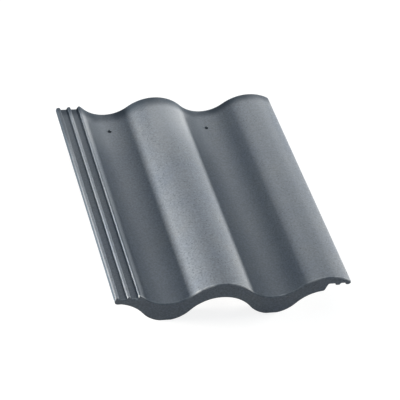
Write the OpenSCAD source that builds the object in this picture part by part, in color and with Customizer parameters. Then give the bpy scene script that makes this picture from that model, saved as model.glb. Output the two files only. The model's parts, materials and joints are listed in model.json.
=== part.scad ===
// Interlocking concrete roof tile with two rolls, lying as it rests on a level floor.
// X runs across the slope, Y from the foot to the head, Z up. The floor is at Z = 0.

/* [Tile] */
// Length from the foot to the head
tile_l = 420; // [360:1:480]
// Width that one laid tile covers, two wave pitches
cover_w = 300; // [280:1:330]
// Thickness of the body, square to its waves
body_t = 12; // [10:0.5:14]

/* [Waves] */
// Height of a crest above the bottom of a trough
wave_rise = 29.5; // [26:0.5:33]
// Radius of the top surface in a trough
trough_r = 50; // [44:1:56]

/* [Side lock] */
// Width of the lip along the left edge, which has a round top
lip_w = 5.5; // [3.5:0.5:8]
// Rounding under the lip
lip_r = 5; // [3:0.5:6]
// Height of the inner rib above the bottom of a trough
lock_h = 17.25; // [15:0.25:19]
// Step down from the inner rib to the middle rib, and from there to the lip
lock_step = 0.75; // [0:0.25:1]
// Depth of the two grooves below the middle rib
groove_d = 4.5; // [3:0.5:6]
// Width of the floor of the groove beside the lip
outer_groove_w = 8; // [4:0.5:10]
// Width of the top of the middle rib
middle_rib_w = 3.5; // [3:0.5:6]
// Width of the floor of the groove beside the inner rib
inner_groove_w = 8; // [6:0.5:10]
// Width of the top of the inner rib
inner_rib_w = 2.5; // [2:0.5:8]
// Run of each sloping groove wall
groove_wall = 2; // [1.5:0.25:3]
// Thickness below the grooves
lock_t = 7; // [5:0.5:8]
// Clearance between the lock and the overlap of the next tile
lock_gap = 1.5; // [1:0.25:2]
// Clearance between the foot of the lip and the rib that hangs beside it
lip_gap = 1.75; // [1:0.25:2]
// Clearance between the right edge of the tile and the inner rib of the next one
lap_gap = 2.25; // [1:0.25:3]
// Rounding of the lock's ribs and grooves
lock_fillet = 1.5; // [0.5:0.25:1.5]

/* [Nose] */
// Depth of the nose below the top surface of a trough
nose_depth = 29; // [24:0.5:34]
// Length of the nose along its underside
nose_l = 20; // [12:1:30]
// Radius of the underside of the nose, which lies in the trough of the tile below
nose_r = 42; // [38:1:46]
// Thickness of the nose at a crest
nose_crest_t = 23.5; // [18:0.5:26]
// Width of the flat pad under each trough
pad_w = 16; // [8:1:24]
// Rounding of the right end of the nose
nose_end_r = 3.5; // [1:0.5:5]
// Bevel along the top edge of the foot
foot_bevel = 1.2; // [0.5:0.1:3]

/* [Head] */
// Length over which the top surface falls away to the head
head_fall_l = 10; // [6:1:20]
// Drop of the top surface at the head
head_fall = 0.5; // [0.25:0.25:3]

/* [Weather checks] */
// Number of check ribs behind the nose
check_count = 2; // [1:1:3]
// Distance from the middle of one check rib to the next, and of the first to the nose
check_pitch = 22; // [18:1:30]
// Length of a check rib along its underside
check_l = 7; // [5:1:10]
// Depth of a check rib below the body
check_d = 6; // [3:0.5:9]

/* [Nibs] */
// Distance from the head to the face that hooks over the batten
nib_y = 22; // [18:1:30]
// Width of a nib's sole
nib_w = 36; // [24:1:48]
// Length of a nib's sole
nib_l = 9; // [6:1:12]

/* [Nail holes] */
// Diameter of the nail holes
nail_d = 6; // [4:0.5:8]
// Distance from the head to the middle of the nail holes
nail_y = 42.5; // [32:0.5:60]

/* [Hidden] */

// Steps along half a wave, and along a rounded corner
WAVE_STEPS = 24;
CORNER_STEPS = 6;
// Cut faces run this far past what they cut
PAST = 1;
// Sloping sides let the cast tile leave its mould: run for each unit of height
DRAFT = 0.1;
NIB_BACK = 0.5;
// Straight stretch left beside a rounded corner that meets a wave
BLEND = 4;

// The overlap follows the lock of the next tile, which lies one covering width further on
lap_w = lip_w + outer_groove_w + middle_rib_w + inner_groove_w + 4 * groove_wall;
side_gap = lock_gap / 2;
tile_w = cover_w + lap_w - lap_gap;
pitch = cover_w / 2;
foot_y = -tile_l / 2;
head_y = tile_l / 2;

// Left edge of each part of the lock, measured from the left edge of the tile
outer_groove_x = lip_w + groove_wall;
middle_rib_x = outer_groove_x + outer_groove_w + groove_wall;
inner_groove_x = middle_rib_x + middle_rib_w + groove_wall;
middle_rib_z = lock_h - lock_step;
lip_z = middle_rib_z - lock_step;
groove_z = middle_rib_z - groove_d;
lock_under_z = groove_z - lock_t;

// A wave is a trough arc and a crest arc that meet with one tangent.
// These give the angle of that tangent and the radius of the crest.
function wave_angle(rise) = 2 * atan(2 * rise / pitch);
function crest_r(rise, r) = pitch / 2 / sin(wave_angle(rise)) - r;

// Height of a wave above its trough at a distance u from the middle of the trough
function wave_z(u, rise, r) =
    u < r * sin(wave_angle(rise))
    ? r - sqrt(r * r - u * u)
    : rise - crest_r(rise, r) + sqrt(pow(crest_r(rise, r), 2) - pow(pitch / 2 - u, 2));

// Distance from the middle of the trough at which a wave reaches the height z
function wave_u(z, rise, r) =
    z < r * (1 - cos(wave_angle(rise)))
    ? sqrt(r * r - pow(r - z, 2))
    : pitch / 2 - sqrt(pow(crest_r(rise, r), 2) - pow(z - rise + crest_r(rise, r), 2));

// Middle of each trough: the left one starts where its flank leaves the inner rib
inner_rib_x = lap_w;
trough_x = inner_rib_x + inner_rib_w + wave_u(lock_h, wave_rise, trough_r);
trough_xs = [trough_x, trough_x + pitch];
crest_xs = [trough_x + pitch / 2, trough_x + pitch * 1.5];

// Distance of x from the nearest trough
function from_trough(x) = abs(x - trough_x - pitch * round((x - trough_x) / pitch));

// The top surface, the underside of the body, its middle, and the underside of the nose
function top_z(x) = wave_z(from_trough(x), wave_rise, trough_r);
function layer_z(x, depth) = wave_z(from_trough(x), wave_rise, trough_r + depth) - depth;
function nose_z(x) =
    let (
        cut = nose_r - sqrt(nose_r * nose_r - pad_w * pad_w / 4),
        rise = nose_depth + wave_rise - nose_crest_t + cut
    )
    max(wave_z(from_trough(x), rise, nose_r) - cut, 0) - nose_depth;

// Positions along X through a row of places, in about equal steps between them
function steps(places) = [
    places[0],
    for (i = [1 : len(places) - 1])
        let (
            from = places[i - 1],
            run = places[i] - from,
            count = ceil(abs(run) / pitch * 2 * WAVE_STEPS)
        )
        each [for (k = [1 : count]) from + run * k / count]
];

// A corner at b between a and c, rounded by an arc of radius most, or less where a wall is short
function corner(a, b, c, most) =
    let (
        to_a = (a - b) / norm(a - b),
        to_c = (c - b) / norm(c - b),
        half = acos(to_a * to_c) / 2,
        r = min(most, min(norm(a - b), norm(c - b)) / 2 * tan(half)),
        middle = b + (to_a + to_c) / norm(to_a + to_c) * r / sin(half),
        first = b + to_a * r / tan(half) - middle,
        last = b + to_c * r / tan(half) - middle,
        turn = atan2(first.x * last.y - first.y * last.x, first * last),
        start = atan2(first.y, first.x)
    )
    [for (i = [0 : CORNER_STEPS])
        let (angle = start + turn * i / CORNER_STEPS)
        middle + r * [cos(angle), sin(angle)]];

// An outline from [x, z, radius] corners, in order round the shape
function rounded(corners) =
    let (
        count = len(corners),
        at = function (i) [corners[i % count][0], corners[i % count][1]]
    )
    [for (i = [0 : count - 1])
        each corners[i][2] == 0
            ? [at(i)]
            : corner(at(i + count - 1), at(i), at(i + 1), corners[i][2])];

// The lock from its lip to the top of the flank of the first trough
function lock_corners() = [
    [0, lock_under_z, lip_r],
    [0, lip_z, lip_w / 2],
    [lip_w, lip_z, lock_fillet],
    [outer_groove_x, groove_z, lock_fillet],
    [outer_groove_x + outer_groove_w, groove_z, lock_fillet],
    [middle_rib_x, middle_rib_z, lock_fillet],
    [middle_rib_x + middle_rib_w, middle_rib_z, lock_fillet],
    [inner_groove_x, groove_z, lock_fillet],
    [inner_groove_x + inner_groove_w, groove_z, lock_fillet],
    [inner_rib_x, lock_h, lock_fillet],
    [inner_rib_x + inner_rib_w, lock_h, 2 * lock_fillet]
];

// The rib that closes the overlap on its inner side
edge_rib_w = middle_rib_w + lock_gap;
edge_rib_x = cover_w - lock_gap - groove_wall - edge_rib_w;
edge_rib_z = groove_z;

// The overlap, from the right edge of the tile back to the underside of the last crest.
// Each groove takes a rib of the lock below it, and each rib hangs in a groove of that lock.
function overlap_corners() =
    let (
        roof_z = middle_rib_z + lock_gap,
        rib_z = groove_z + 2 * lock_gap,
        wall = groove_wall * (roof_z - rib_z) / groove_d
    )
    [
        [tile_w, top_z(tile_w), 2 * lock_fillet],
        [tile_w, roof_z, lock_fillet],
        [cover_w + inner_groove_x + inner_groove_w - lap_gap, rib_z, 2 * lock_fillet],
        [cover_w + inner_groove_x + side_gap, rib_z, 2 * lock_fillet],
        [cover_w + inner_groove_x + side_gap - wall, roof_z, lock_fillet],
        [cover_w + outer_groove_x + outer_groove_w - side_gap + wall, roof_z, lock_fillet],
        [cover_w + outer_groove_x + outer_groove_w - side_gap, rib_z, lock_fillet / 2],
        [cover_w + outer_groove_x + lip_gap, rib_z, lock_fillet / 2],
        [cover_w + outer_groove_x + lip_gap - wall, roof_z, lock_fillet],
        [cover_w - lock_gap, roof_z, 2 * lock_fillet],
        [edge_rib_x + edge_rib_w, edge_rib_z, 2 * lock_fillet],
        [edge_rib_x, edge_rib_z, lock_fillet]
    ];

// The weather face, from the lip to the right edge, as corners
function face_corners() =
    let (places = [inner_rib_x + inner_rib_w + BLEND, trough_xs[0], crest_xs[0], trough_xs[1],
                   crest_xs[1], tile_w - BLEND])
    concat(lock_corners(), [for (x = steps(places)) [x, top_z(x), 0]]);

// The underside of the body, from the overlap back to the lock
function under_corners() =
    let (
        lock_end_x = trough_x - wave_u(lock_under_z + body_t, wave_rise, trough_r + body_t),
        places = [edge_rib_x - groove_wall, trough_xs[1], crest_xs[0], trough_xs[0], lock_end_x]
    )
    [for (x = steps(places)) [x, layer_z(x, body_t), 0]];

outline = rounded(concat(face_corners(), overlap_corners(), under_corners()));

// The stretch of the outline that is the weather face
face_start = CORNER_STEPS + 1;
face_end = len(rounded(face_corners())) + CORNER_STEPS;
face_line = [for (i = [face_start : face_end]) outline[i]];

// Height inside the body, from which the nose and the check ribs hang
function core_z(x) =
    x < trough_x
    ? min(layer_z(x, body_t / 2), groove_z - lock_t / 2)
    : layer_z(x, body_t / 2);

// A section that hangs from inside the body down to an underside, given as points from left to right
module hanging_section(under)
    polygon(concat(
        under,
        [for (i = [len(under) - 1 : -1 : 0]) [under[i].x, core_z(under[i].x)]]
    ));

// The nose follows its own wave below, and ends at the rib that closes the overlap
module nose_section() {
    pads = [for (x = trough_xs) each [x - pad_w / 2, x + pad_w / 2]];
    xs = steps([lip_r, pads[0], pads[1], crest_xs[0], pads[2], pads[3], edge_rib_x - groove_wall]);
    wave = [for (x = xs) [x, nose_z(x)]];
    end_x = edge_rib_x + edge_rib_w - groove_wall;
    edge = [edge_rib_x + edge_rib_w, edge_rib_z];
    hanging_section(concat(
        wave,
        corner(wave[len(wave) - 1], [end_x, nose_z(end_x)], edge, nose_end_r),
        [edge]
    ));
}

module check_section() {
    xs = steps([lap_w, trough_xs[0], crest_xs[0], trough_xs[1], edge_rib_x + edge_rib_w / 2]);
    hanging_section([for (x = xs) [x, layer_z(x, body_t + check_d)]]);
}

// Draws a section along the tile from one distance behind the foot to another
module along_tile(from, to)
    translate([-tile_w / 2, foot_y + to, nose_depth])
        rotate([90, 0, 0])
            linear_extrude(to - from) children();

// Draws a side view across the tile, from x over the width w
module across_tile(x, w)
    translate([x - tile_w / 2, 0, 0])
        rotate([90, 0, 90])
            linear_extrude(w) children();

// Side view of a rib that hangs from the body, with drafted faces
module rib_side(from, to, front_draft) {
    top = nose_depth + wave_rise;
    polygon([
        [foot_y + from, 0],
        [foot_y + to, 0],
        [foot_y + to + DRAFT * top, top],
        [foot_y + from - front_draft * top, top]
    ]);
}

module nose()
    intersection() {
        along_tile(0, nose_l + DRAFT * (nose_depth + wave_rise)) nose_section();
        across_tile(0, tile_w) rib_side(0, nose_l, 0);
    }

// The check ribs stand in a row behind the nose, from its middle at an even pitch
module check_rib(i) {
    middle = nose_l / 2 + i * check_pitch;
    intersection() {
        along_tile(middle - check_pitch / 2, middle + check_pitch / 2) check_section();
        across_tile(0, tile_w) rib_side(middle - check_l / 2, middle + check_l / 2, DRAFT);
    }
}

// What a slope takes off the weather face: it starts at y and falls by drop over run,
// towards the head where side is 1 and towards the foot where side is -1
module face_slope(y, run, drop, side) {
    angle = atan(drop / run);
    reach = run + drop + wave_rise;
    first = face_line[0];
    last = face_line[len(face_line) - 1];
    face = concat([[first.x - PAST, first.y]], face_line, [[last.x + PAST, last.y]]);
    translate([-tile_w / 2, y, nose_depth])
        rotate([90 - side * angle, 0, 0])
            linear_extrude(2 * reach, center = true)
                polygon(concat(
                    [for (p = face) [p.x, p.y * cos(angle)]],
                    [[last.x + PAST, 2 * wave_rise], [first.x - PAST, 2 * wave_rise]]
                ));
}

// A nib hooks over the batten with its upright face and stands on its flat sole
module nib(x) {
    top = nose_depth - body_t / 2;
    face_y = head_y - nib_y;
    intersection() {
        across_tile(x - nib_w, 2 * nib_w)
            polygon([
                [face_y, 0],
                [face_y + nib_l, 0],
                [face_y + nib_l + NIB_BACK * top, top],
                [face_y, top]
            ]);
        along_tile(tile_l - nib_y - PAST, tile_l)
            polygon([
                [x - nib_w / 2, -nose_depth],
                [x + nib_w / 2, -nose_depth],
                [x + nib_w / 2 + DRAFT * top, top - nose_depth],
                [x - nib_w / 2 - DRAFT * top, top - nose_depth]
            ]);
    }
}

module nail_hole(x)
    translate([x - tile_w / 2, head_y - nail_y, 0])
        cylinder(d = nail_d, h = nose_depth + wave_rise, $fn = 48);

module roof_tile()
    color("slategray")
        difference() {
            union() {
                along_tile(0, tile_l) polygon(outline);
                nose();
                for (i = [1 : check_count]) check_rib(i);
                for (x = trough_xs) nib(x);
            }
            for (x = trough_xs) nail_hole(x);
            face_slope(head_y - head_fall_l, head_fall_l, head_fall, 1);
            face_slope(foot_y + foot_bevel, foot_bevel, foot_bevel, -1);
        }

roof_tile();
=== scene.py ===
# %% [markdown]
# # A concrete roof tile with two rolls
#
# The solid part comes from CAD with its sizes settled: section, lock, nose, nibs and holes. This lesson
# gives it what a casting has and a drawing lacks. It breaks the sharp arrises, gives the faces the slight
# unevenness of pressed concrete, and coats them. Then it lights and frames the tile.

# %% Load the part
import json
import math

import bmesh
import bpy
from mathutils import Matrix, Vector, noise


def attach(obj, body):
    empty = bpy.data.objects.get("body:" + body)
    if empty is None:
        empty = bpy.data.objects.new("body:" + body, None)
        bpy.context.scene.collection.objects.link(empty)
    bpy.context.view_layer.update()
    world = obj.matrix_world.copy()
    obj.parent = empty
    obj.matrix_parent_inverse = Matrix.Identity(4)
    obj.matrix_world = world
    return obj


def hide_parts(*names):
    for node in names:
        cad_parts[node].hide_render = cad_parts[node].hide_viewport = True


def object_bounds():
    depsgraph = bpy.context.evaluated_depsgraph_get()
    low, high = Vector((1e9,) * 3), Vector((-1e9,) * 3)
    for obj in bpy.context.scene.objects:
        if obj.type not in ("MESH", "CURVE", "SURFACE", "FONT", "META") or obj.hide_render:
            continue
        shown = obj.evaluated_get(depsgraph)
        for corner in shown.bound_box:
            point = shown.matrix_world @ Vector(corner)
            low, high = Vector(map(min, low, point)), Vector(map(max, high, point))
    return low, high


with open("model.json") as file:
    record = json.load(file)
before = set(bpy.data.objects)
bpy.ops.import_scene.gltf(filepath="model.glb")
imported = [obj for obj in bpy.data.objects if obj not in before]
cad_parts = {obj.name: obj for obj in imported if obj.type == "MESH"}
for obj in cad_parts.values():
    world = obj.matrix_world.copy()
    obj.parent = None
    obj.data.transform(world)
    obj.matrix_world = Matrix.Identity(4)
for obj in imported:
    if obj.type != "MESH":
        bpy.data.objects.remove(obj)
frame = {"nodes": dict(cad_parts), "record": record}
cad_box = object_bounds()
MM = 0.001
low, high = cad_box
tile_w, tile_l, tile_h = high - low
mounts = {m["name"]: Vector(m["pos_m"]) for m in frame["record"]["mounts"]}
print("tile in mm:", [round(v / MM, 2) for v in (tile_w, tile_l, tile_h)])

# %% [markdown]
# ## Camera
#
# The picture is taken from in front of the foot, to the left, with a long lens, and the camera is
# tipped a little to the side. A camera's place, the point it looks at and its tilt about the line of
# sight say all of that. Setting three angles by hand would do the same but is harder to read.

# %% Place the camera
CAMERA_AT = Vector((-0.7106, -1.8939, 1.6409))
LOOKS_AT = Vector((0.0061, -0.0006, 0.03))
TIPPED_BY = math.radians(10.39)
LENS_MM, SENSOR_MM = 162.7, 36

camera = bpy.data.objects.new("camera", bpy.data.cameras.new("camera"))
camera.data.sensor_width = SENSOR_MM
camera.data.lens = LENS_MM
aimed = (LOOKS_AT - CAMERA_AT).to_track_quat("-Z", "Y").to_matrix().to_4x4()
camera.matrix_world = Matrix.Translation(CAMERA_AT) @ aimed @ Matrix.Rotation(TIPPED_BY, 4, "Z")
bpy.context.scene.collection.objects.link(camera)
bpy.context.scene.camera = camera
print("camera to tile, m:", round((LOOKS_AT - CAMERA_AT).length, 3))

# %% [markdown]
# ## The casting's faces
#
# An extruded tile is pressed between a roller and a pallet, so every face is one long sweep along its
# length. The CAD mesh draws each sweep with long thin triangles, which can't take any relief. A remesh
# would even them out, but it would blur the ribs. So the new mesh starts as a copy, and triangles that
# lie in one plane are joined again into their strips.

# %% Copy the solid and join its flat strips
SAME_POINT = 0.001 * MM
SAME_PLANE = math.radians(0.3)

casting = bmesh.new()
casting.from_mesh(frame["nodes"]["roof_tile"].data)
bmesh.ops.remove_doubles(casting, verts=casting.verts, dist=SAME_POINT)
bmesh.ops.dissolve_limit(casting, angle_limit=SAME_PLANE, verts=casting.verts, edges=casting.edges)
print("strips and faces:", len(casting.faces))

# %% [markdown]
# ## Arrises
#
# Concrete never keeps a razor edge: the arris crumbles to a small round. A Bevel modifier could do
# this, but a bevel made in the mesh tells us which faces it made, and the pale wear laid on them also
# paints highlights along the edges.

# %% Break the arrises
ARRIS = 0.7 * MM
ARRIS_TURN = math.radians(28)
ARRIS_STEPS, ARRIS_ROUND = 2, 0.5

# Each face's number for pale wear, which also paints highlights on the arrises
wear_and_highlight_layer = casting.faces.layers.float.new("arris")
sharp = [e for e in casting.edges if e.is_manifold and e.calc_face_angle() > ARRIS_TURN]
broken = bmesh.ops.bevel(
    casting, geom=sharp, offset=ARRIS, offset_type="OFFSET", segments=ARRIS_STEPS, profile=ARRIS_ROUND,
    affect="EDGES", clamp_overlap=True,
)
for face in broken["faces"]:
    face[wear_and_highlight_layer] = 1.0
print("arrises broken:", len(sharp), "edges into", len(broken["faces"]), "faces")

# %% [markdown]
# ## Rows
#
# A strip has points only at its two ends, so nothing between them can be pressed in or marked.
# Subdividing would cut every edge, also the short ones across. Planes across the tile cut it only along
# its length, where points are missing.

# %% Cut the strips into short lengths
ROW = 3.0 * MM
CUT_SNAP = 0.05 * MM

rows = round(tile_l / ROW)
for i in range(1, rows):
    cut = Vector((0, low.y + tile_l * i / rows, 0))
    bmesh.ops.bisect_plane(
        casting, geom=casting.verts[:] + casting.edges[:] + casting.faces[:],
        plane_co=cut, plane_no=(0, 1, 0), dist=CUT_SNAP,
    )
open_edges = sum(not e.is_manifold for e in casting.edges)
print("rows:", rows, "vertices:", len(casting.verts), "open edges:", open_edges)

# %% [markdown]
# ## Unevenness
#
# Pressed concrete is not quite flat: the face rises and falls by a tenth or two of a millimetre over
# one or two centimetres, and low light shows it. Relief in the material could draw it, but the mesh
# would lack it. It is moved inwards only, so that the tile stays in the box of its solid. Sand grains
# are far smaller than these rows and are left to the material.

# %% Press in the unevenness
# The size of each wave and its depth
WAVES = [(26 * MM, 0.16 * MM), (9 * MM, 0.07 * MM)]

casting.normal_update()
for vert in casting.verts:
    depth = sum(amount * (noise.noise(vert.co / size) + 1) / 2 for size, amount in WAVES)
    moved = vert.co - vert.normal * depth
    vert.co = Vector(min(max(c, a), b) for c, a, b in zip(moved, low, high))
print("deepest unevenness, mm:", round(sum(amount for _, amount in WAVES) / MM, 2))

# %% [markdown]
# ## Where the coating lies
#
# The coating is sprayed from above: it covers the weather face, the sides and the foot, and thins out
# on what faces down. The nail holes are punched through it, and their walls get the pale wear colour,
# which also paints light into the holes. Pale wear with painted highlights lies along the foot's upper
# edge and on the ribs of the lock. Each face keeps a number for the coat and one for the wear and painted
# highlights. A picture could be painted instead, but numbers on the mesh need no unwrapping.

# %% Two helpers for fading
def ramp(value, start, end):
    """0 at the start, 1 at the end, and smooth between them."""
    t = min(max((value - start) / (end - start), 0.0), 1.0)
    return t * t * (3 - 2 * t)


def between(first, second, share):
    """The first value at share 0, the second at share 1, and a straight blend between them."""
    return first + (second - first) * share


print("half way along a ramp:", ramp(0.5, 0, 1))

# %% Mark the coat, and its wear and painted highlights
# How far a face turns up from bare to coated, and how far up it turns to count as weather face
SPRAYED, FACES_UP = (-0.45, -0.1), 0.3
HOLE_MARGIN, HOLE_WEAR_AND_LIGHT = 0.3 * MM, 2.5
FOOT_WEAR_AND_HIGHLIGHT = 3.0 * MM
# Where the inner rib's part starts and ends from the lock's middle, and each part's wear and highlight
INNER_RIB, LOCK_END, RIB_WEAR_AND_HIGHLIGHT, INNER_WEAR_AND_HIGHLIGHT = 5 * MM, 17 * MM, 1.7, 4.0

lock = mounts["side_lock"]
record_bores = [m for m in frame["record"]["mounts"] if m["kind"] == "bore"]
bores = [(Vector(m["pos_m"]).xy, m["dims"]["r_mm"] * MM) for m in record_bores]
casting.normal_update()
coat_layer = casting.faces.layers.float.new("coat")
for face in casting.faces:
    middle = face.calc_center_median()
    face[coat_layer] = ramp(face.normal.z, *SPRAYED)
    # The nail holes' walls get pale wear, which also paints light into the holes
    if any((middle.xy - at).length < radius + HOLE_MARGIN for at, radius in bores):
        face[wear_and_highlight_layer] = HOLE_WEAR_AND_LIGHT
    # Pale wear along the foot's upper edge, which also paints a highlight there
    if middle.y < low.y + FOOT_WEAR_AND_HIGHLIGHT and face.normal.z > FACES_UP:
        face[wear_and_highlight_layer] = 1.0
    # The lock's ribs get more pale wear, which paints the highlights along their edges
    if middle.x < lock.x + LOCK_END:
        face[wear_and_highlight_layer] *= RIB_WEAR_AND_HIGHLIGHT if middle.x < lock.x + INNER_RIB else INNER_WEAR_AND_HIGHLIGHT
print("worn faces:", sum(face[wear_and_highlight_layer] > 0 for face in casting.faces))

# %% [markdown]
# ## The band along the head
#
# A dark, dull band of painted shade lies along the head, where the next tile will cover it. It is darkest
# on the slopes and reaches further down on the left than on the right. In the troughs it is shorter and
# thinner, and its lower edge wavers. It fades out over some millimetres, so the number is kept on the
# points, and the faces blend it. A plain stripe in the material would be quicker, but it couldn't follow
# the rolls.

# %% Mark the painted shade along the head
# How far the band reaches at the left and right edges, how far in it is full, and its reach in a trough
BAND_LEFT, BAND_RIGHT, BAND_EDGE, TROUGH_REACH = 33 * MM, 18 * MM, 4 * MM, 0.8
# How dark it is in a trough, on a crest and on a slope, and how far a face leans to be a slope
BAND_TROUGH, BAND_CREST, BAND_SLOPE, BAND_LEAN = 0.6, 0.85, 1.0, (0.1, 0.4)
# The share that is lost at the right edge, and how far and how often the lower edge wavers
BAND_THINS, HEAD_WOBBLE, WOBBLE_SIZE = 0.12, 3 * MM, 14 * MM

first_trough, second_trough = mounts["nail_hole_left"], mounts["nail_hole_right"]
# The band's number is painted shade, kept on the points
painted_shade_layer = casting.verts.layers.float.new("painted_shade")
for vert in casting.verts:
    across = (vert.co.x - low.x) / tile_w
    slope = ramp(abs(vert.normal.x), *BAND_LEAN)
    height = ramp(vert.co.z, second_trough.z, high.z)
    band = between(between(BAND_TROUGH, BAND_CREST, height), BAND_SLOPE, slope)
    band *= 1 - BAND_THINS * across ** 2
    reach = between(BAND_LEFT, BAND_RIGHT, across) * between(TROUGH_REACH, 1, max(height, slope))
    wobble = HEAD_WOBBLE * noise.noise(vert.co / WOBBLE_SIZE)
    vert[painted_shade_layer] = band * ramp(high.y - vert.co.y + wobble, reach, BAND_EDGE)
print("points in the band:", sum(vert[painted_shade_layer] > 0 for vert in casting.verts))

# %% [markdown]
# ## Where else the coat is thick
#
# Painted shade lies in the floors of the lock's grooves, more so towards the head, and on the outside of
# the lip, whose top is dark near the head. A painted shadow lies beside the lock and starts at the foot,
# and a faint painted shade lies along the middle of the first trough. These share the band's number, and
# where two meet the darker one counts, because adding them would make dark blots.

# %% Mark the other painted shade
GROOVES_END, GROOVE_DEPTH, GROOVE_FLOOR = 14 * MM, (1.0 * MM, 4.2 * MM), (0.85, 0.99)
GROOVE_FOOT, GROOVE_HEAD = 0.18, 0.38
SHADOW_ACROSS, SHADOW_ALONG, SHADOW_DARK = (32 * MM, 18 * MM), (360 * MM, 120 * MM), 0.65
TROUGH_SHADE_ACROSS, TROUGH_SHADE_ENDS, TROUGH_SHADE_DARK = (50 * MM, 25 * MM), (50 * MM, 120 * MM), 0.1
LIP_W, LIP_BAND, LIP_SHADE_DARK = 6.5 * MM, (130 * MM, 40 * MM), 0.65
LIP_SIDE_SHADE, SIDE_LEAN = 1.0, (0.5, 0.85)

for vert in casting.verts:
    from_head, from_foot = high.y - vert.co.y, vert.co.y - low.y
    painted_shade = vert[painted_shade_layer]
    if vert.co.x < lock.x + GROOVES_END:
        # Painted shade on the floors of the lock's grooves
        on_floor = ramp(lock.z - vert.co.z, *GROOVE_DEPTH) * ramp(vert.normal.z, *GROOVE_FLOOR)
        painted_shade = max(painted_shade, on_floor * between(GROOVE_FOOT, GROOVE_HEAD, from_foot / tile_l))
    elif vert.normal.z > FACES_UP:
        # A painted shadow beside the lock, and faint painted shade along the first trough
        shadow_by_lock = SHADOW_DARK * ramp(vert.co.x - lock.x, *SHADOW_ACROSS) * ramp(from_foot, *SHADOW_ALONG)
        trough_shade = TROUGH_SHADE_DARK * ramp(abs(vert.co.x - first_trough.x), *TROUGH_SHADE_ACROSS)
        trough_shade *= ramp(min(from_foot, from_head), *TROUGH_SHADE_ENDS)
        painted_shade = max(painted_shade, shadow_by_lock, trough_shade)
    if vert.co.x < low.x + LIP_W:
        # Painted shade on the lip's top near the head and on its outer side
        lip_head_shade = LIP_SHADE_DARK * ramp(from_head, *LIP_BAND)
        lip_side_shade = LIP_SIDE_SHADE * ramp(-vert.normal.x, *SIDE_LEAN)
        painted_shade = max(painted_shade, lip_head_shade, lip_side_shade)
    vert[painted_shade_layer] = painted_shade
print("points in the thick coat:", sum(vert[painted_shade_layer] > 0 for vert in casting.verts))

# %% [markdown]
# ## Painted light
#
# A pale haze of painted light lies on the coat. Near the head it lies on the crest of the first roll and
# on the slopes that lean to the right. A thin one runs along the crest of the second roll and grows
# towards the head, and a painted highlight along the lip's outer edge fades towards the head. One noise
# pattern could scatter it everywhere, but it follows the shape, so each point's place and lean decide.

# %% Mark the painted light
# How far from the head the painted light fades out and in, how far a face leans, what a crest adds
LIGHT_FROM_HEAD, LIGHT_ENDS = (150 * MM, 40 * MM), (4 * MM, 26 * MM)
LIGHT_LEAN, CREST_SHARE = (-0.05, 0.32), 0.4
LIP_EDGE, LIP_FADES = 2.0 * MM, (60 * MM, 250 * MM)
# The second roll's painted light at the foot and the head, and the leans between which it lies
CREST_FOOT, CREST_HEAD, CREST_FROM, CREST_TO = 0.33, 0.6, (-0.5, 0.1), (0.2, 0.4)

# Each point's number for painted light
painted_light_layer = casting.verts.layers.float.new("painted_light")
for vert in casting.verts:
    from_head = high.y - vert.co.y
    if vert.co.x < low.x + LIP_EDGE and vert.normal.z > FACES_UP:
        vert[painted_light_layer] = ramp(from_head, *LIP_FADES)
    elif vert.co.x < second_trough.x:
        lean = vert.normal.x + CREST_SHARE * (vert.co.z - second_trough.z) / (high.z - second_trough.z)
        along = ramp(from_head, *LIGHT_FROM_HEAD) * ramp(from_head, *LIGHT_ENDS)
        vert[painted_light_layer] = along * ramp(lean, *LIGHT_LEAN)
    elif vert.normal.z > FACES_UP:
        on_crest = ramp(vert.normal.x, *CREST_FROM) * (1 - ramp(vert.normal.x, *CREST_TO))
        along = between(CREST_FOOT, CREST_HEAD, 1 - from_head / tile_l)
        vert[painted_light_layer] = along * on_crest * ramp(vert.co.z, second_trough.z, high.z)
print("points in the bloom:", sum(vert[painted_light_layer] > 0 for vert in casting.verts))

# %% [markdown]
# ## The casting in the solid's place
#
# The finished mesh is shown in the solid's place, and the solid itself isn't changed. Flat shading would
# show every row, and smooth shading alone would smear the edges of the foot. So faces are smooth, and
# edges that turn more than an angle stay sharp.

# %% Make the casting's object
SMOOTH_UNDER = math.radians(40)

mesh = bpy.data.meshes.new("tile_casting")
casting.to_mesh(mesh)
casting.free()
for polygon in mesh.polygons:
    polygon.use_smooth = True
mesh.set_sharp_from_angle(angle=SMOOTH_UNDER)
tile = bpy.data.objects.new("tile_casting", mesh)
bpy.context.scene.collection.objects.link(tile)
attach(tile, "root")
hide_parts("roof_tile")
mesh.calc_loop_triangles()
print("triangles in the casting:", len(mesh.loop_triangles))

# %% [markdown]
# ## Coated concrete
#
# The body is sandy concrete, pigmented right through, and the weather face has a thin satin coating.
# The eye sees a blue slate grey that is never quite even: broad clouds where the coating is thicker,
# fine grain from the sand below it, pinholes with painted shade in them, and paler arrises where it wore
# through and where highlights are painted.
# Pictures of concrete could be wrapped round the tile, but patterns worked out in space have no seams.

# %% Helpers for materials
def linear(hex_colour):
    """An sRGB hex colour as linear RGBA."""
    parts = [int(hex_colour[i:i + 2], 16) / 255 for i in (1, 3, 5)]
    return [c / 12.92 if c <= 0.04045 else ((c + 0.055) / 1.055) ** 2.4 for c in parts] + [1.0]


def add(tree, kind, sockets=(), **settings):
    """Adds a node, sets its properties, and gives its sockets, by name or in order, a value or a link."""
    made = tree.nodes.new("ShaderNode" + kind)
    for name, value in settings.items():
        setattr(made, name, value)
    pairs = sockets.items() if isinstance(sockets, dict) else enumerate(sockets)
    for name, value in pairs:
        if isinstance(value, bpy.types.NodeSocket):
            tree.links.new(value, made.inputs[name])
        else:
            made.inputs[name].default_value = value
    return made


def per_metre(size_mm):
    """The scale of a pattern whose features are this big."""
    return 1 / (size_mm * MM)


print("scale of a pattern of 1 mm:", per_metre(1))

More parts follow.
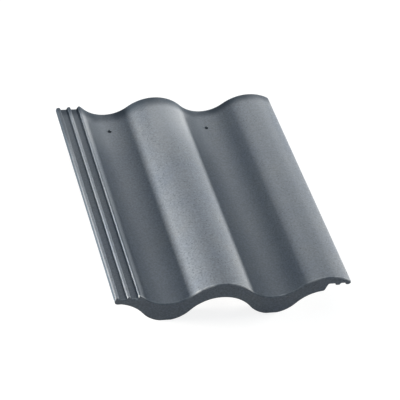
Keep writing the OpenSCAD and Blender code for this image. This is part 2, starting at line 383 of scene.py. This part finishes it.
# %% Start the coated concrete
# The size of each pattern's features in millimetres, and its finer layers. Real sand is under a millimetre
# and too fine to show in the picture, so the grain is drawn coarser.
PATTERNS = {"cloud": (55, 3.0), "mottle": (9, 4.0), "grain": (2.6, 3.0)}

concrete = bpy.data.materials.new("coated_concrete")
concrete.use_nodes = True
tree = concrete.node_tree
tree.nodes.clear()
place = add(tree, "TexCoord").outputs["Object"]
pattern = {}
for name, (size_mm, detail) in PATTERNS.items():
    sockets = {"Vector": place, "Scale": per_metre(size_mm), "Detail": detail}
    pattern[name] = add(tree, "TexNoise", sockets).outputs[0]
mark = {}
for name in ("coat", "arris", "painted_shade", "painted_light"):
    mark[name] = add(tree, "Attribute", attribute_name=name).outputs["Fac"]
print("patterns:", list(pattern), "marks:", list(mark))

# %% Colour the coat
SLATE, SLATE_BLUE, SLATE_WARM = linear("#697078"), linear("#636B76"), linear("#6E7378")
# The part of each noise that is spread over the full change of colour
CLOUD_SPREAD, MOTTLE_SPREAD, GRAIN_SPREAD = (0.35, 0.65), (0.3, 0.7), (0.3, 0.7)
GRAIN_LIGHT = (0.77, 1.23)

cloudy = add(tree, "MapRange", (pattern["cloud"], *CLOUD_SPREAD)).outputs[0]
mottled = add(tree, "MapRange", (pattern["mottle"], *MOTTLE_SPREAD)).outputs[0]
colour = add(tree, "Mix", {0: cloudy, 6: SLATE_BLUE, 7: SLATE_WARM}, data_type="RGBA").outputs[2]
colour = add(tree, "Mix", {0: mottled, 6: colour, 7: SLATE}, data_type="RGBA").outputs[2]
light = add(tree, "MapRange", (pattern["grain"], *GRAIN_SPREAD, *GRAIN_LIGHT)).outputs[0]
colour = add(tree, "VectorMath", {0: colour, "Scale": light}, operation="SCALE").outputs[0]
print("grain, darkest and lightest share:", GRAIN_LIGHT)

# %% [markdown]
# ## Pinholes
#
# Air trapped in the concrete leaves pinholes of about a millimetre, mostly up on the rolls. Holes in the
# mesh would need far more faces. A cell pattern in the material gives each a small dip and a dark spot of
# painted shade.

# %% Prick the pinholes
# They are drawn a little wider than real ones, so that they show in the picture
# The pinholes' colour is painted shade inside them
PINHOLE_SHADE, PINHOLE_MM, PINHOLE_DARK = linear("#3C4249"), 4.5, 0.7
# The soft edge as shares of a cell, and the part of the mottle that has pinholes
PINHOLE_EDGE, PINHOLE_PATCH = (0.14, 0.26), (0.46, 0.52)
# The heights between which they set in
PINHOLE_RISE = (second_trough.z + 13 * MM, second_trough.z + 25 * MM)

cell = add(tree, "TexVoronoi", {"Vector": place, "Scale": per_metre(PINHOLE_MM)}).outputs["Distance"]
hole = add(tree, "MapRange", (cell, *PINHOLE_EDGE, PINHOLE_DARK, 0.0)).outputs[0]
few = add(tree, "MapRange", (pattern["mottle"], *PINHOLE_PATCH)).outputs[0]
height = add(tree, "SeparateXYZ", (place,)).outputs["Z"]
raised = add(tree, "MapRange", (height, *PINHOLE_RISE)).outputs[0]
few = add(tree, "Math", (few, raised), operation="MULTIPLY").outputs[0]
hole = add(tree, "Math", (hole, few), operation="MULTIPLY").outputs[0]
colour = add(tree, "Mix", {0: hole, 6: colour, 7: PINHOLE_SHADE}, data_type="RGBA").outputs[2]
print("widest pinhole with its soft edge, mm:", round(2 * PINHOLE_EDGE[1] * PINHOLE_MM, 1))

# %% [markdown]
# ## Marks over the coat
#
# Wear bares pale concrete and also paints highlights, a pale haze of painted light lies on the coat, and
# painted shade is darker than the rest. Each could be a material of its own, but then every border would
# be a hard line. Mixing the colours by the marks on the mesh lets them fade into each other.

# %% Lay on the wear and highlights, the painted light and the painted shade
# Pale wear that also paints highlights, and the painted light
WORN_AND_HIGHLIGHT, PAINTED_LIGHT_COLOUR = linear("#A3A8AB"), linear("#A6A9AC")
# The painted shade, and bare concrete
PAINTED_SHADE_COLOUR, BARE = linear("#3A434C"), linear("#74787B")
WEAR_AND_HIGHLIGHT_SPREAD, WEAR_AND_HIGHLIGHT_AMOUNT, PAINTED_LIGHT_AMOUNT = (0.36, 0.6), 0.4, 0.4

# Pale wear with painted highlights
wear_and_highlight = add(tree, "MapRange", (pattern["mottle"], *WEAR_AND_HIGHLIGHT_SPREAD, 0.0, WEAR_AND_HIGHLIGHT_AMOUNT)).outputs[0]
wear_and_highlight = add(tree, "Math", (wear_and_highlight, mark["arris"]), operation="MULTIPLY").outputs[0]
colour = add(tree, "Mix", {0: wear_and_highlight, 6: colour, 7: WORN_AND_HIGHLIGHT}, data_type="RGBA").outputs[2]
# Painted light
painted_light_share = add(tree, "Math", (mark["painted_light"], PAINTED_LIGHT_AMOUNT), operation="MULTIPLY").outputs[0]
colour = add(tree, "Mix", {0: painted_light_share, 6: colour, 7: PAINTED_LIGHT_COLOUR}, data_type="RGBA").outputs[2]
# Painted shade
colour = add(tree, "Mix", {0: mark["painted_shade"], 6: colour, 7: PAINTED_SHADE_COLOUR}, data_type="RGBA").outputs[2]
body = add(tree, "VectorMath", {0: BARE[:3], "Scale": light}, operation="SCALE").outputs[0]
colour = add(tree, "Mix", {0: mark["coat"], 6: body, 7: colour}, data_type="RGBA").outputs[2]
print("nodes in the colour:", len(tree.nodes))

# %% [markdown]
# ## Sheen and relief
#
# The coat is satin, bare concrete is dull, and the painted shade is made dull too. The sand below the
# coat gives a fine relief. A second shader for each could be mixed in, but one with a changing roughness
# is enough, and a bump is enough for grains that are smaller than the mesh's rows.

# %% Finish the coated concrete
BARE_ROUGH, COAT_ROUGH, PAINTED_SHADE_DULL, COAT_SPECULAR = 0.85, 0.5, 0.4, 0.3
GRAIN_BUMP, GRAIN_HEIGHT = 0.6, 0.25 * MM

rough = add(tree, "MapRange", (mark["coat"], 0.0, 1.0, BARE_ROUGH, COAT_ROUGH)).outputs[0]
# The painted shade is made duller
rough = add(tree, "Math", (mark["painted_shade"], PAINTED_SHADE_DULL, rough), operation="MULTIPLY_ADD").outputs[0]
relief = add(tree, "Math", (pattern["grain"], hole), operation="SUBTRACT").outputs[0]
bump = add(tree, "Bump", {"Height": relief, "Strength": GRAIN_BUMP, "Distance": GRAIN_HEIGHT}).outputs[0]
shader = add(tree, "BsdfPrincipled", {
    "Base Color": colour, "Roughness": rough, "Specular IOR Level": COAT_SPECULAR, "Normal": bump,
})
add(tree, "OutputMaterial", {"Surface": shader.outputs[0]})
tile.data.materials.append(concrete)
print("nodes in the coated concrete:", len(tree.nodes))

# %% [markdown]
# ## Floor and surroundings
#
# The tile lies on a plain white sheet. To the camera the sheet and the surroundings are white, and to
# the light they are an ordinary pale floor and a soft grey room. More light could whiten them too, but
# it would bleach the tile. Part of the sheet's white is real shading, so the tile's shadow darkens it.

# %% Lay the floor
FLOOR_W = 12.0
FLOOR_WHITE, FLOOR_SHADED, FLOOR_PALE = 0.86, 0.25, 0.5


def seen_share(tree):
    """1 where a surface is seen, directly, in gloss or through glass, and 0 where it only gives light."""
    ray = add(tree, "LightPath").outputs
    seen = add(tree, "Math", (ray["Is Camera Ray"], ray["Is Glossy Ray"]), operation="MAXIMUM").outputs[0]
    return add(tree, "Math", (seen, ray["Is Transmission Ray"]), operation="MAXIMUM").outputs[0]


def grey(level):
    """A neutral grey as linear RGBA."""
    return [level] * 3 + [1.0]


bpy.ops.mesh.primitive_plane_add(size=FLOOR_W)
floor = bpy.context.object
floor.name = "floor"
sheet = bpy.data.materials.new("white_sheet")
sheet.use_nodes = True
tree = sheet.node_tree
tree.nodes.clear()
glow = add(tree, "Emission", {"Strength": FLOOR_WHITE}).outputs[0]
shaded = add(tree, "BsdfDiffuse", {"Color": grey(FLOOR_SHADED)}).outputs[0]
white = add(tree, "AddShader", (glow, shaded)).outputs[0]
pale = add(tree, "BsdfDiffuse", {"Color": grey(FLOOR_PALE)}).outputs[0]
both = add(tree, "MixShader", (seen_share(tree), pale, white)).outputs[0]
add(tree, "OutputMaterial", {"Surface": both})
floor.data.materials.append(sheet)
print("floor width, m:", FLOOR_W)

# %% Set the surroundings
ROOM, ROOM_TINT = 0.24, linear("#C7E2F7")

world = bpy.data.worlds.new("room")
bpy.context.scene.world = world
world.use_nodes = True
tree = world.node_tree
tree.nodes.clear()
seen = seen_share(tree)
strength = add(tree, "MapRange", (seen, 0.0, 1.0, ROOM, 1.0)).outputs[0]
shade = add(tree, "Mix", {0: seen, 6: ROOM_TINT, 7: grey(1.0)}, data_type="RGBA").outputs[2]
sky = add(tree, "Background", {"Color": shade, "Strength": strength}).outputs[0]
add(tree, "OutputWorld", {"Surface": sky})
print("room level:", ROOM)

# %% [markdown]
# ## Light
#
# A low strip on each side rakes across the rolls, so that each roll has bright shoulders and a darker
# trough. The left one is short and near the foot, so its light fades towards the head, and the right one
# is long and far away. A soft box behind the head gives the upward faces a sheen. Strips are the usual
# way to show a profile: a single lamp would leave one side of every roll without form. The left strip
# is so near that it would glare along the crests from the other side, so it makes no reflection, as if
# it stood behind a polarising sheet.

# %% Hang the lamps
# Each lamp's place, what it points at, its length and height in metres, its watts, its tint, and whether
# it shows in reflections
LAMPS = {
    "left_strip": ((-0.8, -0.13, 0.088), (0.0, -0.32, 0.05), (0.16, 0.08), 19.8, "#FFF7ED", False),
    "right_strip": ((3.0, 0.6, 0.5), (0.0, 0.2, 0.05), (1.5, 0.25), 198.0, "#FFFAF3", True),
    "soft_box": ((0.25, 1.73, 0.97), (0.0, 0.0, 0.03), (1.2, 1.0), 19.4, "#FAFDFF", True),
}

for name, (at, to, (lamp_l, lamp_h), watts, tint, reflected) in LAMPS.items():
    lamp = bpy.data.lights.new(name, "AREA")
    lamp.color = linear(tint)[:3]
    lamp.shape = "RECTANGLE"
    lamp.size = lamp_l
    lamp.size_y = lamp_h
    lamp.energy = watts
    hung = bpy.data.objects.new(name, lamp)
    hung.location = at
    hung.rotation_euler = (Vector(to) - Vector(at)).to_track_quat("-Z", "Y").to_euler()
    hung.visible_camera = False
    hung.visible_glossy = reflected
    bpy.context.scene.collection.objects.link(hung)
    print("lamp:", name, watts, "W")

# %% [markdown]
# ## Finish
#
# A casting is no larger than its mould, so the mesh has to lie inside the solid's box, and the unevenness
# kept its points inside it. This last step sets the picture's view transform to Standard.

# %% Finish
bpy.context.scene.view_settings.view_transform = "Standard"
